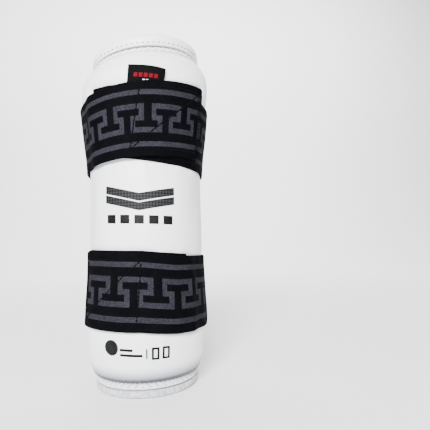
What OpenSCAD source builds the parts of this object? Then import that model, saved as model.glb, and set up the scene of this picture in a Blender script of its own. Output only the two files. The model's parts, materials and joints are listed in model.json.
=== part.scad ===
// Forearm guard: a C-shaped padded shell, open at the back, with two elastic straps that wrap
// round it and close on the front with hook and loop.
// +Z runs along the forearm towards the elbow, the front faces -Y and the shell opens towards +Y.
// The origin is on the forearm's axis, in the plane of the bottom rim that the guard stands on.

/* [Shell] */
// Length of the guard along the forearm
guard_h = 255; // [230:1:280]
// Inner radius of the lining
lining_r = 35; // [32:0.5:38]
// Outer radius of the pad at the middle of the forearm
pad_mid_r = 43.6; // [42:0.1:46]
// How far the pad swells out near the elbow end
top_bulge = 6; // [0:0.1:8]
// How far the pad swells out near the wrist end
bottom_bulge = 2; // [0:0.1:5]
// How much smaller the shell's radius is at the wrist rim
wrist_taper = 3.3; // [0:0.1:5]
// How far the shell reaches behind the forearm's axis
shell_back_y = 14; // [8:1:18]
// Radius of the shell's back corners at the elbow end
top_corner_r = 26; // [20:1:36]
// Radius of the shell's back corners at the wrist end
bottom_corner_r = 20; // [18:1:30]

/* [Edges] */
// Width of the edge binding
binding_w = 6.5; // [5:0.5:8]
// Width of the flat gathered margin between the binding and the pad
margin_w = 6; // [4:0.5:9]
// Length of the pad's rounded shoulder at the elbow end
top_shoulder = 19; // [12:1:26]
// Length of the pad's rounded shoulder at the wrist end
bottom_shoulder = 20; // [10:1:24]

/* [Straps] */
// Width of the elastic webbing
strap_w = 50; // [45:1:52]
// Thickness of the elastic webbing
strap_t = 1.6; // [1.2:0.1:2]
// Height of the middle of the upper strap's sewn layer
upper_strap_z = 187; // [180:1:192]
// Height of the middle of the lower strap's sewn layer
lower_strap_z = 73; // [68:1:80]
// Angle from the front to the sewn end of each strap
sewn_end_a = 43; // [30:1:60]
// Angle from the front to the upper strap's free end, past a full turn
upper_free_a = 57; // [40:1:70]
// Angle from the front to the lower strap's free end, past a full turn
lower_free_a = 62; // [50:1:85]

/* [Fastening] */
// Thickness of the hook patch and of the loop patch
patch_t = 0.9; // [0.7:0.1:1]
// Length of the hook patch round the strap
hook_len = 44; // [30:1:45]
// Width of the hook and loop patches
patch_w = 42; // [30:1:46]
// Width of the folded hem at the free end
hem_w = 4; // [3:0.5:6]

/* [Trim] */
// Width of the woven size label
label_w = 22; // [15:1:32]
// Height of the woven size label above the sewn strap
label_h = 15; // [12:1:22]

/* [Hidden] */
$fn = 96;

cover_t = 1.2;          // PU leather cover with its fabric backing
lining_t = 0.8;         // fabric lining against the arm
comfort_t = 3;          // soft foam behind the lining
binding_t = 0.8;        // tape folded round the edge
seat = 2.5;             // how far inside the rim the layers end, within the folded tape
print_t = 0.25;         // printed film on the cover
label_t = 0.6;          // woven label
piping_r = 0.9;         // cord in the seam above the bottom binding
ply_gap = 0.15;         // between pieces that lie on each other
far = 100;              // larger than the guard in any cut

foam_r = lining_r + lining_t;
core_r = foam_r + comfort_t;
margin_r = core_r + cover_t;
rim_in = lining_r - binding_t;
rim_out = margin_r + binding_t;
pad_inset = binding_w + margin_w;
pad_lo = pad_inset + 0.5;
pad_hi = guard_h - pad_inset + 1;
profile_margin = 40;    // from either end to where the pad's outline is drawn in even steps
profile_step = 12;
piping_back_y = shell_back_y - bottom_corner_r - 1;     // the cord ends where the corners begin

// The two swellings of the pad: where each is highest, and how far it runs either way
top_bulge_z = guard_h - 33;
top_bulge_reach = 75;
bottom_bulge_z = 37;
bottom_bulge_reach = 60;
taper_h = 45;           // the wrist end tapers below this height

// Size label, and the two groups of printed marks, centred on the front
label_a = 5;            // angle from the front to the label's middle
badge_z = 127;          // bottom of the badge
badge_w = 48;
badge_h = 17;
badge_drop = 5;         // how far the chevrons drop towards the middle
badge_bar = 5.5;        // height of one chevron
block_z = 117.5;        // bottom of the row of blocks under the badge
block_w = 6.6;
block_h = 6;
block_pitch = 10.35;
marks_z = 29;           // bottom of the lower marks
marks_h = 11;
disc_x = -18.5;
disc_r = 4.6;
strips_x = -12.5;       // left end of the two strips
strip_h = 1.7;
short_strip = [8.5, 4.6];       // each strip's length, and its height above marks_z
long_strip = [14.5, 1.2];
rule_x = 5;
rule_z = 29.5;
rule_w = 0.7;
rule_h = 6;
frames_x = [8.7, 15.9];
frame_w = 5;
frame_h = 8;
frame_line = 1.1;

// Each strap leaves the shell at leave_a and runs on in SECTIONS stiff sections
SECTIONS = 5;
leave_a = 110;
section_gap = 0.3;      // between neighbouring sections, along the strap
step_out = 0.8;         // each section lies this much further out than the one before it
loop_extra_a = 25;      // the loop patch starts this far before the hook patch, for a looser fit,
loop_start_a = 5;       // but never nearer the sewn end than this,
loop_past_a = 2;        // and ends this far past the free end
upper_len_a = 360 + upper_free_a - leave_a;
lower_len_a = 360 + lower_free_a - leave_a;
// Height of each section relative to the strap's sewn layer
upper_rise = [-4, -4, -3, 1, 5];
lower_rise = [0, -1, -3, -2, 0];

white = [0.93, 0.93, 0.94];
soft_white = [0.86, 0.86, 0.88];
foam_grey = [0.55, 0.56, 0.58];
strap_black = [0.07, 0.07, 0.08];
hook_black = [0.12, 0.12, 0.13];
print_grey = [0.16, 0.17, 0.18];

// ---- outline of the pad ----

function bell(u) = abs(u) >= 1 ? 0 : (1 + cos(180 * u)) / 2;

// How much the shell's radii shrink towards the wrist
function taper(z) = wrist_taper * max(1 - z / taper_h, 0);

// Radius of the pad along the forearm, before its ends are rounded off
function body_r(z) = pad_mid_r + top_bulge * bell((z - top_bulge_z) / top_bulge_reach)
    + bottom_bulge * bell((z - bottom_bulge_z) / bottom_bulge_reach);

// How much of the pad's thickness is left near its ends, as a quarter ellipse
function swell(d, reach) = d >= reach ? 1 : sqrt(1 - pow(1 - max(d, 0) / reach, 2));

function pad_r(z) = margin_r - taper(z) + (body_r(z) - margin_r)
    * swell(z - pad_lo, bottom_shoulder) * swell(pad_hi - z, top_shoulder);

// Heights at which the pad's outline has a point, close together on the shoulders
function pad_heights(first = 0) = concat(
    [for (a = [first : 15 : 90]) pad_lo + bottom_shoulder * (1 - cos(a))],
    [for (z = [profile_margin : profile_step : guard_h - profile_margin]) z],
    [for (a = [90 : -15 : first]) pad_hi - top_shoulder * (1 - cos(a))]
);

// ---- shared shapes ----

// Outline of the shell seen from its side, inset by d, with its back corners rounded
module side_outline(d) {
    top_r = top_corner_r - d;
    bottom_r = bottom_corner_r - d;
    back = shell_back_y - d;
    translate([-far, d]) square([far + back - bottom_r, guard_h - 2 * d - top_r]);
    translate([-far, d + bottom_r]) square([far + back - top_r, guard_h - 2 * d - bottom_r]);
    translate([-far, d + bottom_r]) square([far + back, guard_h - 2 * d - top_r - bottom_r]);
    translate([back - top_r, guard_h - d - top_r]) circle(r = top_r);
    translate([back - bottom_r, d + bottom_r]) circle(r = bottom_r);
}

// The shell's outline as a block that runs right through it from side to side
module side_block(d) {
    rotate([90, 0, 90]) translate([0, 0, -far]) linear_extrude(2 * far) side_outline(d);
}

// One layer of the shell between two radii, ending d inside the rim
module shell_layer(r_in, r_out, d) {
    intersection() {
        rotate_extrude() polygon([
            [r_in - taper(0), 0], [r_out - taper(0), 0], [r_out, taper_h],
            [r_out, guard_h], [r_in, guard_h], [r_in, taper_h]
        ]);
        side_block(d);
    }
}

// The pad's own solid, off millimetres below its surface and d further in from its sides
module pad_block(off, first, d) {
    zs = pad_heights(first);
    intersection() {
        rotate_extrude() polygon(concat(
            [[core_r - taper(zs[0]), zs[0]]],
            [for (z = zs) [pad_r(z) - off, z]],
            [[core_r, zs[len(zs) - 1]], [core_r, taper_h]]
        ));
        side_block(d);
    }
}

// Band round the forearm from angle a0 to a1, measured from the front towards +X
module band(a0, a1, z_mid, w, off, t) {
    zs = [for (i = [0 : 4]) z_mid - w / 2 + i * w / 4];
    rotate([0, 0, a0 - 90]) rotate_extrude(angle = a1 - a0) polygon(concat(
        [for (z = zs) [body_r(z) + off, z]],
        [for (i = [4 : -1 : 0]) [body_r(zs[i]) + off + t, zs[i]]]
    ));
}

// ---- shell ----

module outer_cover() {
    color(white) union() {
        difference() {
            pad_block(0, 0, pad_inset);
            pad_block(cover_t, 15, pad_inset + cover_t);
        }
        intersection() {
            difference() {
                shell_layer(core_r, margin_r, seat);
                translate([-far, -far, 0]) cube([2 * far, far + shell_back_y - pad_inset, guard_h]);
            }
            translate([-far, -far, pad_lo]) cube([2 * far, 2 * far, pad_hi - pad_lo]);
        }
    }
}

module foam_core() {
    color(foam_grey) pad_block(cover_t, 15, pad_inset + cover_t);
}

module comfort_foam() {
    color(soft_white) shell_layer(foam_r, core_r, seat);
}

module inner_lining() {
    color(soft_white) shell_layer(lining_r, foam_r, seat);
}

// Flat gathered margin of the cover, between the heights z0 and z1
module collar(z0, z1) {
    color(white) intersection() {
        shell_layer(core_r, margin_r, seat);
        translate([-far, -far, z0]) cube([2 * far, 2 * far, z1 - z0]);
    }
}

module top_collar() {
    collar(pad_hi, guard_h);
}

module bottom_collar() {
    collar(0, pad_lo);
}

// Tape folded round the rim, kept where it lies between z0 and z1 and on the given side
module binding(z0, z1, side) {
    color(white) intersection() {
        difference() {
            shell_layer(rim_in, rim_out, 0);
            shell_layer(lining_r, margin_r, seat);
            side_block(binding_w);
        }
        translate([side > 0 ? 0 : -far, -far, z0]) cube([side == 0 ? 2 * far : far, 2 * far, z1 - z0]);
    }
}

module top_binding() {
    binding(guard_h - top_corner_r, guard_h, 0);
}

module bottom_binding() {
    binding(0, bottom_corner_r, 0);
}

module left_edge_binding() {
    binding(bottom_corner_r, guard_h - top_corner_r, -1);
}

module right_edge_binding() {
    binding(bottom_corner_r, guard_h - top_corner_r, 1);
}

// Thin cord sewn into the seam between the bottom binding and the gathered margin
module bottom_piping() {
    z = binding_w + ply_gap + piping_r;
    color(print_grey) intersection() {
        rotate_extrude() translate([margin_r - taper(z) + piping_r, z]) circle(r = piping_r);
        translate([-far, -far, 0]) cube([2 * far, far + piping_back_y, far]);
    }
}

// ---- trim ----

module size_label() {
    half_a = label_w / 2 / pad_mid_r * 180 / PI;
    z0 = upper_strap_z + strap_w / 2 + 0.2;
    zs = [for (i = [0 : 4]) z0 + i * label_h / 4];
    color(strap_black) rotate([0, 0, label_a - half_a - 90])
        rotate_extrude(angle = 2 * half_a) polygon(concat(
            [for (z = zs) [pad_r(z) + ply_gap, z]],
            [for (i = [4 : -1 : 0]) [pad_r(zs[i]) + ply_gap + label_t, zs[i]]]
        ));
}

// Printed film that follows the cover, in the shape of the 2D children seen from the front
module film(z0, z1) {
    zs = [for (i = [0 : 4]) z0 + i * (z1 - z0) / 4];
    color(print_grey) intersection() {
        rotate([0, 0, 180]) rotate_extrude(angle = 180) polygon(concat(
            [for (z = zs) [pad_r(z) + ply_gap, z]],
            [for (i = [4 : -1 : 0]) [pad_r(zs[i]) + ply_gap + print_t, zs[i]]]
        ));
        rotate([90, 0, 0]) linear_extrude(far) children();
    }
}

// Plain badge of two stacked chevrons, over a row of plain blocks
module front_print() {
    film(block_z - 1, badge_z + badge_h + 1) union() {
        for (side = [-1, 1]) for (z = [badge_z, badge_z + badge_h - badge_drop - badge_bar])
            polygon([
                [0, z], [side * badge_w / 2, z + badge_drop],
                [side * badge_w / 2, z + badge_drop + badge_bar], [0, z + badge_bar]
            ]);
        for (i = [-2 : 2]) translate([i * block_pitch - block_w / 2, block_z]) square([block_w, block_h]);
    }
}

// Outlined rectangle
module mark_frame(x) {
    translate([x, marks_z]) difference() {
        square([frame_w, frame_h]);
        translate([frame_line, frame_line]) square([frame_w - 2 * frame_line, frame_h - 2 * frame_line]);
    }
}

// Plain row of marks: a disc, two strips, a rule and two outlined rectangles
module lower_print() {
    film(marks_z - 1, marks_z + marks_h + 1) union() {
        translate([disc_x, marks_z + marks_h - disc_r]) circle(r = disc_r);
        for (strip = [short_strip, long_strip]) translate([strips_x, marks_z + strip[1]]) square([strip[0], strip_h]);
        translate([rule_x, rule_z]) square([rule_w, rule_h]);
        for (x = frames_x) mark_frame(x);
    }
}

// ---- straps ----
// dir is 1 where the strap runs from its sewn end towards +X, and -1 where it runs towards -X

module run(dir) {
    mirror([dir < 0 ? 1 : 0, 0, 0]) children();
}

// Angle taken by a length along the strap's outer layer
function arc_a(len) = len / (pad_mid_r + SECTIONS * step_out) * 180 / PI;

function section_off(i) = (i + 1) * step_out;

module strap_base(dir, z) {
    color(strap_black) run(dir)
        band(-sewn_end_a, leave_a - arc_a(section_gap), z, strap_w, ply_gap, strap_t);
}

// Loop pile sewn on the outside of the sewn layer, where the hook patch lands
module loop_patch(dir, z, free_a) {
    start_a = max(free_a - arc_a(hook_len) - loop_extra_a, loop_start_a - sewn_end_a);
    color(hook_black) run(dir)
        band(start_a, free_a + loop_past_a, z, patch_w, strap_t + 2 * ply_gap, patch_t);
}

// Section i of the part of the strap that unwraps
module section(i, dir, z, len_a, rise) {
    a0 = leave_a + i * len_a / SECTIONS;
    a1 = a0 + len_a / SECTIONS - (i < SECTIONS - 1 ? arc_a(section_gap) : arc_a(hem_w));
    color(strap_black) run(dir) band(a0, a1, z + rise[i], strap_w, section_off(i), strap_t);
}

module hook_patch(dir, z, len_a, rise) {
    end_a = leave_a + len_a - arc_a(hem_w);
    last = SECTIONS - 1;
    color(hook_black) run(dir)
        band(end_a - arc_a(hook_len), end_a, z + rise[last], patch_w,
            section_off(last) - ply_gap - patch_t, patch_t);
}

// The webbing folded back on itself at the free end
module end_hem(dir, z, len_a, rise) {
    end_a = leave_a + len_a;
    last = SECTIONS - 1;
    color(strap_black) run(dir)
        band(end_a - arc_a(hem_w), end_a, z + rise[last], strap_w, section_off(last) - patch_t,
            strap_t + patch_t);
}

module upper_strap_base() { strap_base(1, upper_strap_z); }
module upper_loop_patch() { loop_patch(1, upper_strap_z, upper_free_a); }
module upper_section(i) { section(i, 1, upper_strap_z, upper_len_a, upper_rise); }
module upper_hook_patch() { hook_patch(1, upper_strap_z, upper_len_a, upper_rise); }
module upper_end_hem() { end_hem(1, upper_strap_z, upper_len_a, upper_rise); }

module lower_strap_base() { strap_base(-1, lower_strap_z); }
module lower_loop_patch() { loop_patch(-1, lower_strap_z, lower_free_a); }
module lower_section(i) { section(i, -1, lower_strap_z, lower_len_a, lower_rise); }
module lower_hook_patch() { hook_patch(-1, lower_strap_z, lower_len_a, lower_rise); }
module lower_end_hem() { end_hem(-1, lower_strap_z, lower_len_a, lower_rise); }

outer_cover();
foam_core();
comfort_foam();
inner_lining();
top_collar();
bottom_collar();
top_binding();
bottom_binding();
left_edge_binding();
right_edge_binding();
bottom_piping();
size_label();
front_print();
lower_print();
upper_strap_base();
upper_loop_patch();
upper_section(0);  // upper_strap_1
upper_section(1);  // upper_strap_2
upper_section(2);  // upper_strap_3
upper_section(3);  // upper_strap_4
upper_section(4);  // upper_strap_5
upper_hook_patch();
upper_end_hem();
lower_strap_base();
lower_loop_patch();
lower_section(0);  // lower_strap_1
lower_section(1);  // lower_strap_2
lower_section(2);  // lower_strap_3
lower_section(3);  // lower_strap_4
lower_section(4);  // lower_strap_5
lower_hook_patch();
lower_end_hem();
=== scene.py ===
import json
import math

import bpy
import numpy as np
from mathutils import Euler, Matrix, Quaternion, Vector


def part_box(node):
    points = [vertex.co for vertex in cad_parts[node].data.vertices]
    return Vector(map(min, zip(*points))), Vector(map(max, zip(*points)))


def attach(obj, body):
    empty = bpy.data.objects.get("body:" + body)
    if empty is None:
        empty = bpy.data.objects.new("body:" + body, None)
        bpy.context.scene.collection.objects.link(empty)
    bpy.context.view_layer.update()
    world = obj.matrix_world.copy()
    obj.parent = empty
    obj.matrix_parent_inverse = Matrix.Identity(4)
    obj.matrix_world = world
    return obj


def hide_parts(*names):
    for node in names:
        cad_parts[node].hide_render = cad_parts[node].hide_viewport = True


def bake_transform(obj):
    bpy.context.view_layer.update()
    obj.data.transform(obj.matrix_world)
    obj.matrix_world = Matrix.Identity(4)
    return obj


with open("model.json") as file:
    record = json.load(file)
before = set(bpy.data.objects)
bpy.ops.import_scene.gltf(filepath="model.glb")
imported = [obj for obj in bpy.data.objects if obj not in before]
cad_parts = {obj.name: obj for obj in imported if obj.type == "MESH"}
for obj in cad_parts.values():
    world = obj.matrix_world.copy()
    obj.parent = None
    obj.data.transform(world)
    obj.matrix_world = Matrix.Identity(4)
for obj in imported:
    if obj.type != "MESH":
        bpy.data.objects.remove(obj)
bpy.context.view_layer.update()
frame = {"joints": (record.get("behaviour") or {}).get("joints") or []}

# ---------------------------------------------------------------- sizes
# Metres, in the frame of the CAD model: +Z along the forearm, the front faces -Y.
# Angles run from the front towards +X.

MM = 0.001
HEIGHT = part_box("top_binding")[1].z
LINING_R = -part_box("inner_lining")[0].y          # outer face of the lining
CORE_R = -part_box("comfort_foam")[0].y            # inner face of the pad's foam
MARGIN_R = -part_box("top_collar")[0].y            # flat margin round the pad
BACK_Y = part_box("left_edge_binding")[1].y        # how far the shell reaches back
RIM_MID_R = 37.5 * MM                            # middle of the rim's thickness

PAD_MID_R = 43.6 * MM                            # the pad's face between its two bulges
TOP_BULGE, TOP_BULGE_Z = 6 * MM, HEIGHT - 33 * MM
BOTTOM_BULGE, BOTTOM_BULGE_Z = 2 * MM, 37 * MM
TOP_CORNER = 26 * MM                             # rounding of the shell's outline, seen from the side
BOTTOM_CORNER = 20 * MM
# Pairs: at the wrist, at the elbow
PAD_SEAM = (10.3 * MM, 13.8 * MM)                # from the edge in to the pad's seam
RIM_GROOVE = (5.8 * MM, 9.6 * MM)                # from the edge in to the deep seam next to the rim
SHOULDER = (20 * MM, 19 * MM)                    # from the seam to the pad's full thickness
WRIST_TAPER = 3.3 * MM                           # how much smaller the radius is at the wrist rim
TAPER_H = 45 * MM                                # height at which that taper starts
ELBOW_SLANT = 0.13                               # how steeply the elbow rim slopes from side to side

STRAP_W, STRAP_T = 50 * MM, 1.3 * MM
PATCH_W, PATCH_T = 43 * MM, 0.65 * MM            # hook and loop tape
HEM = (1.8 * MM, 3.8 * MM)                       # the hem's two rows of stitches, from the free end
BOX_HALF = 21 * MM                               # half the height of the stitched box behind it
SECTIONS = 5                                     # stiff sections of a strap that unwrap
LABEL_ANGLE = math.radians(4.4)                  # from the front to the label's middle
COVER_INSET = 4.8 * MM                           # where the cover goes in under the rim's covering
LIP_STITCHES = (7.2 * MM, 41.6 * MM)             # distance in from the edge, and radius
PIPING_AT, PIPING_R = 7.0 * MM, 0.6 * MM         # height of the cord's middle, and its radius
FILM_T = 0.14 * MM                               # thickness of the printed films
FILM_STEP = 0.9                                  # mm between points along a film's outline
PRINT_TILT = 0.035                               # slope of the printed marks
LAYER_INSET = 3 * MM                             # lining and comfort foam, from the edge in
FOAM_INSET = 14 * MM                             # the pad's foam
LINING_INNER_R = 35 * MM

# The pad's cloth simulation
VOXEL = 4.5 * MM
PRESSURE = 150
SETTLE_FRAMES = 20
SETTLE_LIMIT = 1.2 * MM                          # the most that a point of the face may move

rng = np.random.default_rng(7)


# ---------------------------------------------------------------- helpers

def smooth(t):
    """Eases from 0 to 1 as t goes from 0 to 1."""
    t = np.clip(t, 0, 1)
    return t * t * (3 - 2 * t)


def bell(u):
    """1 at u = 0, easing to 0 at -1 and 1."""
    return np.where(np.abs(u) >= 1, 0, (1 + np.cos(np.pi * np.clip(u, -1, 1))) / 2)


def ridge(x, centre, half):
    """1 at centre, falling to 0 at half either side."""
    return bell((x - centre) / half)


def place(phi, z, r):
    """Points at angle phi from the front, height z and radius r."""
    phi, z, r = np.broadcast_arrays(phi, z, r)
    r = r - WRIST_TAPER * np.clip(1 - z / TAPER_H, 0, 1)
    slant = ELBOW_SLANT * smooth((z - (HEIGHT - 60 * MM)) / (52 * MM))
    return np.stack([r * np.sin(phi), -r * np.cos(phi), z + slant * r * np.sin(phi)], axis=-1)


def facing(phi):
    """Outward directions at angle phi."""
    return np.stack([np.sin(phi), -np.cos(phi), np.zeros_like(phi)], axis=-1)


def running(steps):
    """Running total of steps, from 0."""
    return np.concatenate([[0], np.cumsum(steps)])


def linked(name, data):
    """A new object in the scene that shows data."""
    obj = bpy.data.objects.new(name, data)
    bpy.context.scene.collection.objects.link(obj)
    return obj


def new_object(name, verts, faces, mat, uv=None):
    """A mesh object with smooth faces. uv has one place on the cloth for each vertex."""
    mesh = bpy.data.meshes.new(name)
    mesh.from_pydata([tuple(v) for v in np.asarray(verts, float)], [], [tuple(map(int, f)) for f in faces])
    mesh.polygons.foreach_set("use_smooth", [True] * len(mesh.polygons))
    if uv is not None:
        layer = mesh.uv_layers.new(name="cloth")
        index = np.zeros(len(mesh.loops), np.int32)
        mesh.loops.foreach_get("vertex_index", index)
        layer.data.foreach_set("uv", np.asarray(uv, np.float32)[index].ravel())
    mesh.materials.append(mat)
    mesh.update()
    return linked(name, mesh)


def coordinates(mesh):
    """The places of a mesh's vertices, as an array."""
    co = np.zeros(len(mesh.vertices) * 3)
    mesh.vertices.foreach_get("co", co)
    return co.reshape(-1, 3)


def solid(name, verts, faces, mat, uv=None, sharp=None):
    """A closed mesh with its faces turned outwards. Edges of more than sharp degrees stay sharp."""
    obj = new_object(name, verts, faces, mat, uv)
    mesh = obj.data
    mesh.calc_loop_triangles()
    co = coordinates(mesh)
    tri = np.zeros(len(mesh.loop_triangles) * 3, np.int32)
    mesh.loop_triangles.foreach_get("vertices", tri)
    a, b, c = (co[tri.reshape(-1, 3)[:, k]] for k in range(3))
    if np.einsum("ij,ij->i", a, np.cross(b, c)).sum() < 0:
        mesh.flip_normals()
    if sharp is not None:
        mesh.set_sharp_from_angle(angle=math.radians(sharp))
    return obj


def grid_faces(rows, cols, closed=False, offset=0):
    """Quads of a grid of points stored row by row. closed joins its last column to its first."""
    quads = []
    for i in range(rows - 1):
        a, b = offset + i * cols, offset + (i + 1) * cols
        for j in range(cols if closed else cols - 1):
            k = (j + 1) % cols
            quads.append((a + j, a + k, b + k, b + j))
    return quads


def swept(name, rings, mat, uv=None, sharp=50):
    """A closed solid from rings of points, all with the same count, capped at both ends."""
    rings = np.asarray(rings, float)
    n, m = rings.shape[:2]
    faces = grid_faces(n, m, closed=True)
    faces.append(tuple(range(m - 1, -1, -1)))
    faces.append(tuple((n - 1) * m + k for k in range(m)))
    return solid(name, rings.reshape(-1, 3), faces, mat, uv, sharp)


def sheet_mesh(name, outer, inner, mat, uv=None, sharp=None):
    """A closed sheet between two grids of points, outer and inner, with the same rows and columns."""
    n, m = outer.shape[:2]
    faces = grid_faces(n, m)
    faces += [tuple(reversed(f)) for f in grid_faces(n, m, offset=n * m)]
    rim = [j for j in range(m)] + [i * m + m - 1 for i in range(1, n)]
    rim += [(n - 1) * m + j for j in range(m - 2, -1, -1)] + [i * m for i in range(n - 2, 0, -1)]
    faces += [(b, a, a + n * m, b + n * m) for a, b in zip(rim, rim[1:] + rim[:1])]
    verts = np.concatenate([outer.reshape(-1, 3), inner.reshape(-1, 3)])
    if uv is not None:
        uv = np.concatenate([uv.reshape(-1, 2), uv.reshape(-1, 2)])
    return solid(name, verts, faces, mat, uv, sharp)


def on_guard(obj, slot, *nodes):
    """Fixes a piece to the guard and hides the CAD nodes that it stands for. slot is not used."""
    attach(obj, "guard")
    if nodes:
        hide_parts(*nodes)
    return obj


# ---------------------------------------------------------------- materials

class Nodes:
    """Short calls for building one material's node tree."""

    def __init__(self, name):
        self.mat = bpy.data.materials.new(name)
        self.mat.use_nodes = True
        self.tree = self.mat.node_tree
        self.shader = self.tree.nodes["Principled BSDF"]

    def feed(self, socket, value):
        if isinstance(value, bpy.types.NodeSocket):
            self.tree.links.new(value, socket)
        else:
            socket.default_value = value

    def add(self, kind, inputs, output=0, **values):
        """Adds a node with its inputs fed by name or number, and returns one of its outputs."""
        node = self.tree.nodes.new(kind)
        for key, value in values.items():
            setattr(node, key, value)
        for key, value in inputs.items():
            self.feed(node.inputs[key], value)
        return node.outputs[output]

    def math(self, op, a, b=0.0):
        return self.add("ShaderNodeMath", {0: a, 1: b}, operation=op)

    def between(self, x, low, high):
        """1 where x lies between low and high."""
        return self.math("MULTIPLY", self.math("GREATER_THAN", x, low), self.math("LESS_THAN", x, high))

    def coords(self):
        return self.add("ShaderNodeTexCoord", {}, "Object")

    def cloth(self):
        """The mesh's own UVs, in which woven pieces measure their threads."""
        return self.add("ShaderNodeUVMap", {}, uv_map="cloth")

    def mapped(self, vector, **values):
        return self.add("ShaderNodeMapping", {"Vector": vector, **values})

    def bands(self, vector, direction, scale, distortion=0.0, detail_scale=1.0):
        """Parallel threads, drawn as a wave along one direction."""
        inputs = {"Vector": vector, "Scale": scale, "Distortion": distortion, "Detail Scale": detail_scale}
        return self.add("ShaderNodeTexWave", inputs, "Fac", wave_type="BANDS", bands_direction=direction)

    def noise(self, scale, detail, vector=None):
        """Uneven cloudy texture, at the object's own coordinates unless vector is given."""
        at = self.coords() if vector is None else vector
        inputs = {"Vector": at, "Scale": scale, "Detail": detail, "Roughness": 0.55}
        return self.add("ShaderNodeTexNoise", inputs)

    def cells(self, scale, feature="F1"):
        """Small round cells, at the object's own coordinates."""
        inputs = {"Vector": self.coords(), "Scale": scale}
        return self.add("ShaderNodeTexVoronoi", inputs, "Distance", feature=feature)

    def remap(self, x, low, high, to_low=0, to_high=1):
        inputs = {"Value": x, "From Min": low, "From Max": high, "To Min": to_low, "To Max": to_high}
        return self.add("ShaderNodeMapRange", inputs)

    def mix(self, factor, a, b):
        """Blend of two colours."""
        a, b = (c if isinstance(c, bpy.types.NodeSocket) else (*c, 1) for c in (a, b))
        return self.add("ShaderNodeMix", {"Factor": factor, 6: a, 7: b}, 2, data_type="RGBA")

    def relief(self, *layers):
        """Bumps laid over each other, each (height, strength, depth in mm)."""
        inputs = {}
        for height, strength, depth in layers:
            inputs.update({"Height": height, "Strength": strength, "Distance": depth * MM})
            inputs["Normal"] = normal = self.add("ShaderNodeBump", inputs)
        return normal

    def finish(self, colour, rough, normal=None, **fixed):
        self.feed(self.shader.inputs["Base Color"], colour)
        self.feed(self.shader.inputs["Roughness"], rough)
        if normal is not None:
            self.feed(self.shader.inputs["Normal"], normal)
        for key, value in fixed.items():
            self.shader.inputs[key.replace("_", " ")].default_value = value
        return self.mat


def times(factor, colour):
    """A colour made brighter or darker."""
    return tuple(factor * c for c in colour)


def pu_leather(name, colour, shade):
    """Smooth synthetic leather: fine pebbled grain, soft creases and faint handling marks, with painted
    shade wherever the mesh carries it.
    """
    n = Nodes(name)
    creases = n.noise(60, 4, n.mapped(n.coords(), Scale=(1, 1, 0.35)))
    normal = n.relief((n.cells(1500), 0.22, 0.12), (n.noise(900, 2), 0.12, 0.1), (creases, 0.12, 0.8))
    tint = n.mix(n.remap(n.noise(14, 4), 0.35, 0.7), colour, shade)
    # Painted shade, read from a per-point attribute of the mesh: 0 leaves the leather as it is, 1 paints it
    # bluish grey.
    deep = n.add("ShaderNodeAttribute", {}, "Fac", attribute_name="painted_shade")
    tint = n.mix(deep, tint, (0.15, 0.155, 0.21))
    # Painted shadow: the deepest part of the seam next to the rim is painted near black.
    tint = n.mix(n.remap(deep, 0.8, 1.0, 0, 0.9), tint, (0.03, 0.03, 0.036))
    rough = n.remap(n.noise(120, 3), 0.3, 0.7, 0.4, 0.52)
    return n.finish(tint, rough, normal, Specular_IOR_Level=0.45, Coat_Weight=0.12, Coat_Roughness=0.35)


def woven_tape(name, colour, shade):
    """Narrow woven binding tape, with crossing threads that stand out."""
    n = Nodes(name)
    at = n.cloth()
    threads = n.math("MULTIPLY", n.bands(at, "X", 2.6, 1.2, 1.5), n.bands(at, "Y", 2.2, 1.2, 1.5))
    slubs = n.noise(420, 3)
    normal = n.relief((threads, 0.6, 0.4), (slubs, 0.6, 0.6), (n.noise(1400, 3), 0.3, 0.2))
    # Painted shade: the tape darkens towards its grey shade colour in the low parts between the threads and
    # in the hollows of the slubs, where the bumps are lowest.
    tint = n.mix(n.remap(threads, 0, 0.8, 0.3, 0), colour, shade)
    tint = n.mix(n.remap(slubs, 0.42, 0.56, 0.7, 0), tint, shade)
    return n.finish(tint, 0.8, normal, Specular_IOR_Level=0.2, Sheen_Weight=0.15)


def lining_knit(name, colour, shade):
    """Soft knitted lining with an open honeycomb of small loops."""
    n = Nodes(name)
    dips = n.remap(n.cells(380, "DISTANCE_TO_EDGE"), 0.0, 0.3)
    normal = n.relief((dips, 0.8, 0.6), (n.noise(1600, 2), 0.3, 0.15))
    return n.finish(n.mix(dips, shade, colour), 0.9, normal, Sheen_Weight=0.25)


def foam_skin(name, colour, shade):
    """Closed-cell foam: small round cells over a slightly uneven cut face."""
    n = Nodes(name)
    normal = n.relief((n.cells(1100), 0.5, 0.2))
    return n.finish(n.mix(n.noise(60, 4), colour, shade), 0.85, normal)


# Rows of the key pattern: (top, bottom) as a share of its height, and the grey spans of one repeat.
KEY_ROWS = (
    ((0.0, 0.185), ((0.0, 0.805),)),
    ((0.185, 0.41), ((0.0, 0.115), (0.675, 0.805))),
    ((0.41, 0.59), ((0.0, 0.28), (0.455, 0.805))),
    ((0.59, 0.815), ((0.155, 0.28), (0.455, 0.575))),
    ((0.815, 1.0), ((0.0, 0.28), (0.455, 1.0))),
)
KEY_REPEAT = 29.0        # mm along the webbing
KEY_TOP = 9.8            # mm above the webbing's middle
KEY_HEIGHT = 19.6
LINE_IN, LINE_OUT = 15.8, 19.3   # the two border lines, mm from the webbing's middle


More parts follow.
